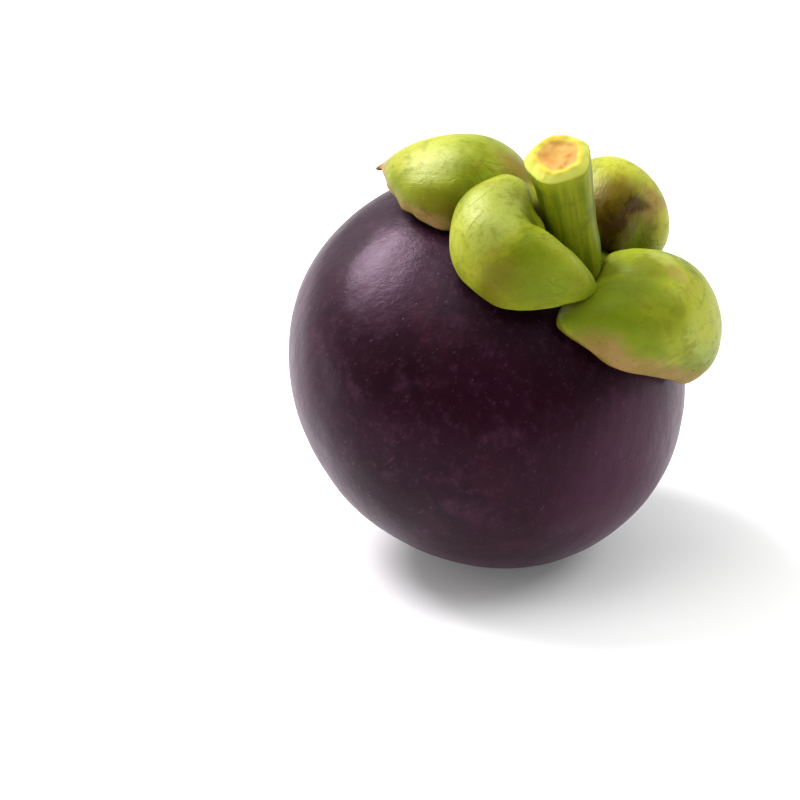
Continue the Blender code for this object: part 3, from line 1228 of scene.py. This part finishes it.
                # painted shade: how much of the dark side is painted at this turn
                dark = 0.5 + 0.5 * cos(around - radians(self.shaded_side))
                dark = max(0.0, dark - self.shaded_from) / (1 - self.shaded_from)
                grain = (cos(around), sin(around), share * self.length * PER_CM)
                rows[-1].append(growth.add(point, bark=(dark, face, across), grain=grain))
        growth.sheet(rows, closed=True)
        centre = foot + direction * (self.length + self.face_height(0.0, 0.0))
        tall = (0.0, 0.0, self.length * PER_CM)
        growth.fan(rows[-1], growth.add(centre, bark=(0.0, 1.0, 0.0), grain=tall))
        low = foot - up * (self.gap + self.sink)
        growth.fan(rows[0][::-1], growth.add(low, bark=(0.0, 0.0, 1.0), grain=(0.0, 0.0, 0.0)))
        self.receptacle(growth)
        return growth.piece("cut_stem", pose, self.finish.material(), Slot.STEM, "stem")


@dataclass(frozen=True)
class StigmaRosette:
    """The dry rosette at the blossom end, with a grooved lobe for each segment of the flesh."""

    finish: StigmaFinish = StigmaFinish()
    lobes: int = 7
    radius: float = 6.5
    notch: float = 0.3
    thickness: float = 1.2
    edge: float = 0.35
    dish: float = 0.45
    groove: Pair = (0.3, 0.1)  # between the lobes, and at the middle
    rib: float = 0.28
    crumb: float = 0.06
    least: float = 0.06  # the share of the thickness that is left in the grooves
    rounding: float = 0.7
    gap: float = 0.3
    sink: float = 0.15
    sides_per_lobe: int = 24
    rings: int = 48

    def build(self, pose: Matrix) -> bpy.types.Object:
        """Makes the rosette.

        Args:
            pose: from the upright fruit to the lying one.

        Returns:
            The piece.
        """
        growth = Growth()
        between, middle = self.groove
        rows = []
        for ring in range(1, self.rings):
            polar = pi * ring / self.rings
            out_share = sin(polar)
            up = cos(polar)
            rows.append([])
            for around in turns(self.lobes * self.sides_per_lobe):
                lobe = abs(cos(self.lobes * around / 2))
                notch = self.notch * (1 - lobe**self.rounding) * out_share
                reach = self.radius * out_share * (1 - notch)
                top = self.edge + (1 - self.edge) * up - self.dish * (1 - out_share)
                top -= between * (1 - min(1.0, 3 * lobe)) * out_share + middle * (1 - out_share)
                top += self.rib * cos(self.lobes * around) * out_share * (1 - out_share)
                share = top if up > 0 else self.edge * (1 + up)
                base = -self.gap - self.sink if up < 0 else -self.gap * out_share**6
                height = self.thickness * max(self.least, share) + self.gap + base
                point = SKIN.at(pi - reach / SKIN.radius, around, height)
                point += point.normalized() * (self.crumb * ripple(point, 1.1) * (up > 0))
                rows[-1].append(growth.add(point, petal=(max(0.0, share), out_share, 0.0)))
        growth.sheet(rows, closed=True)
        top = self.gap + self.edge * self.thickness
        for row, height in ((rows[0][::-1], top), (rows[-1], -self.sink)):
            growth.fan(row, growth.add(SKIN.at(pi, 0.0, height), petal=(0.2, 0.0, 0.0)))
        finish = self.finish.material()
        return growth.piece("stigma_star", pose, finish, Slot.STIGMA, "stigma_rosette")


@dataclass(frozen=True)
class SoftBox:
    """A broad soft light: where it stands as seen from the fruit, its size and its power."""

    name: str
    azimuth: float
    elevation: float
    distance: float
    size: float
    power: float
    colour: Colour = (1.0, 1.0, 1.0)
    shine_only: bool = False  # only seen in glossy skin

    def build(self, centre: Vector) -> None:
        """Adds the light, turned to the fruit.

        Args:
            centre: the fruit's centre.
        """
        azimuth, elevation = radians(self.azimuth), radians(self.elevation)
        away = Vector((sin(azimuth), -cos(azimuth), 0)) * cos(elevation)
        away.z = sin(elevation)
        light = bpy.data.lights.new(self.name, "AREA")
        light.shape = "DISK"
        light.size = self.size
        light.energy = self.power
        light.color = self.colour
        lamp = stand(self.name, light, centre + away * self.distance, centre)
        lamp.visible_diffuse = not self.shine_only


@dataclass(frozen=True)
class Studio:
    """A pale floor, an even white sky, soft boxes and the camera."""

    centre: Vector  # the fruit's
    floor_size: float = 6.0
    floor_colour: Colour = (0.9, 0.9, 0.9)
    floor_shade: Colour = (0.87, 0.87, 0.87)
    floor_glow: float = 0.12
    sky: float = 0.8
    sky_front: float = 0.06
    camera_distance: float = 0.48
    camera_elevation: float = 24.0
    aim_right: float = -0.01272
    aim_up: float = -0.00468
    lens: float = 147.7
    boxes: tuple[SoftBox, ...] = (
        SoftBox("key_box", -118.0, 50.0, 0.7, 0.34, 5.6, (1.0, 0.95, 1.0)),
        SoftBox("sheen_box", -116.0, 46.0, 0.71, 0.46, 9.5, (1.0, 0.88, 1.0), shine_only=True),
        SoftBox("top_box", -50.0, 74.0, 0.8, 0.5, 1.8),
        SoftBox("right_box", 100.0, 40.0, 0.8, 0.4, 2.0),
    )

    def floor(self) -> None:
        """Adds the floor."""
        half = self.floor_size / 2
        corners = ((-half, -half, 0), (half, -half, 0), (half, half, 0), (-half, half, 0))
        mesh = bpy.data.meshes.new("floor")
        mesh.from_pydata(corners, [], [(0, 1, 2, 3)])
        shader = Shader("pale_floor")
        grain = Value(shader, shader.node("ShaderNodeTexCoord").outputs["Object"]).clouds(40.0, 3.0)
        shader.colour = shader.mix(grain.step(0.3, 0.7) * 0.3, self.floor_colour, self.floor_shade)
        mesh.materials.append(shader.finish(
            0.6, grain, 0.00002, Specular_IOR_Level=0.2,
            Emission_Color=(1.0, 1.0, 1.0), Emission_Strength=self.floor_glow,
        ))
        made = bpy.data.objects.new("floor", mesh)
        bpy.context.scene.collection.objects.link(made)

    def light(self) -> None:
        """Adds the sky and the soft boxes."""
        world = bpy.data.worlds.new("white_sky")
        nodes = Nodes(world)
        x, y, z = Value(nodes, nodes.node("ShaderNodeTexCoord").outputs["Generated"]).parts()
        bright = (z + y * 0.6 - x * 0.15).step(-0.35, 0.75)
        bright = bright * (self.sky - self.sky_front) + self.sky_front
        sockets = {"Color": (1.0, 1.0, 1.0), "Strength": bright}
        sky = nodes.node("ShaderNodeBackground", sockets=sockets)
        nodes.node("ShaderNodeOutputWorld", sockets={"Surface": sky.outputs[0]})
        bpy.context.scene.world = world
        for box in self.boxes:
            box.build(self.centre)

    def camera(self) -> None:
        """Adds the camera."""
        elevation = radians(self.camera_elevation)
        away = Vector((0, -cos(elevation), sin(elevation)))
        above = Vector((0, sin(elevation), cos(elevation)))
        aim = self.centre + Vector((1, 0, 0)) * self.aim_right + above * self.aim_up
        lens = bpy.data.cameras.new("camera")
        lens.lens = self.lens
        lens.clip_start = 0.01
        place = self.centre + away * self.camera_distance
        bpy.context.scene.camera = stand("camera", lens, place, aim)

    def build(self) -> None:
        """Adds everything round the fruit."""
        self.floor()
        self.light()
        self.camera()
        bpy.context.scene.view_settings.view_transform = "Standard"


def main() -> None:
    """Builds the fruit piece by piece, and the studio round it."""
    logging.basicConfig(level=logging.INFO, format="%(name)s: %(message)s")
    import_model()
    resting = RestingPose()
    pose = resting.matrix()
    down = resting.turn().to_3x3().transposed() @ Vector((0, 0, -1))
    for piece in (Rind(down), Stem(), StigmaRosette(), *SEPALS):
        made = piece.build(pose)
        log.info("%s: %d faces", made.name, len(made.data.polygons))
    Studio(resting.centre()).build()


if __name__ == "__main__":
    main()
